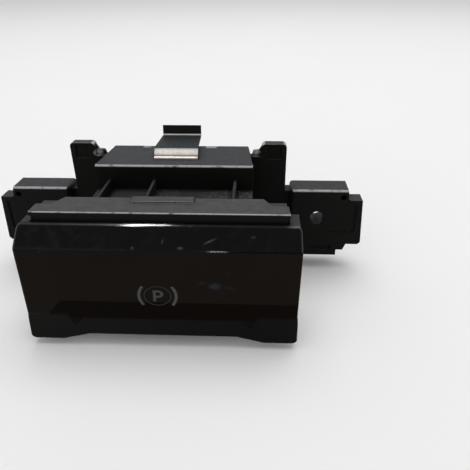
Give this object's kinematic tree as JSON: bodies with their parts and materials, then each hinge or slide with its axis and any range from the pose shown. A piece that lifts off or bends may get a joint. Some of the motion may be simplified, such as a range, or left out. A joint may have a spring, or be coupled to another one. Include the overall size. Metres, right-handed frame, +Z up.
{
  "type": "electric parking brake switch",
  "caption": "Dash-mounted electric parking brake switch: wide gloss black pull handle on a black housing with fixing wings, spring clip and rear connector socket.",
  "frame": {"origin": "midway between the two fixing holes, on the front face of the wings", "axes": "+X to the driver's right along the handle, -Y towards the driver, +Z up"},
  "size_m": [0.1438, 0.0785, 0.0543],
  "materials": {
    "housing_plastic": "glass-filled black plastic with a fine grain",
    "trim_plastic": "dark grey satin plastic",
    "cover_plastic": "black moulded plastic",
    "spring_steel": "bright rolled strip",
    "gloss_black": "high gloss black with fine scratches",
    "grip_plastic": "soft matte black",
    "clear_plastic": "milky clear light guide",
    "pin_steel": "ground steel",
    "stop_rubber": "soft black rubber",
    "slider_plastic": "natural low-friction plastic",
    "magnet": "plated magnet",
    "board_green": "coated circuit board",
    "chip_black": "moulded chip body",
    "light_body": "white lamp body",
    "connector_plastic": "black connector plastic",
    "contact_brass": "plated contacts"
  },
  "bodies": {
    "housing": {"housing": "housing_plastic", "top_trim": "trim_plastic", "rear_cover": "cover_plastic", "spring_clip": "spring_steel", "light_pipe": "clear_plastic", "pivot_pin_left": "pin_steel", "pivot_pin_right": "pin_steel", "stop_pads": "stop_rubber", "front_springs": "pin_steel", "rear_spring": "pin_steel", "circuit_board": "board_green", "board_screws": "pin_steel", "position_sensors": "chip_black", "indicator_light": "light_body", "controller_chip": "chip_black", "board_components": "chip_black", "connector_header": "connector_plastic", "connector_pins": "contact_brass"},
    "handle": {"handle_carrier": "grip_plastic", "handle_cover": "gloss_black", "symbol_diffuser": "clear_plastic"},
    "slider": {"switch_slider": "slider_plastic", "slider_magnets": "magnet"}
  },
  "joints": [
    {"name": "handle_pull", "type": "hinge", "parent": "housing", "child": "handle", "pos_m": [0, -0.0323, 0.0127], "axis": [-1, 0, 0], "range_deg": [-3, 7], "stiffness_Nm_per_rad": 2},
    {"name": "slider_slide", "type": "slide", "parent": "housing", "child": "slider", "axis": [0, -1, 0], "range_m": [-0.0006, 0.0012], "deforming": ["front_springs", "rear_spring"]}
  ],
  "couplings": [
    {"joint": "slider_slide", "follows": "handle_pull", "m_per_rad": 0.0087}
  ]
}
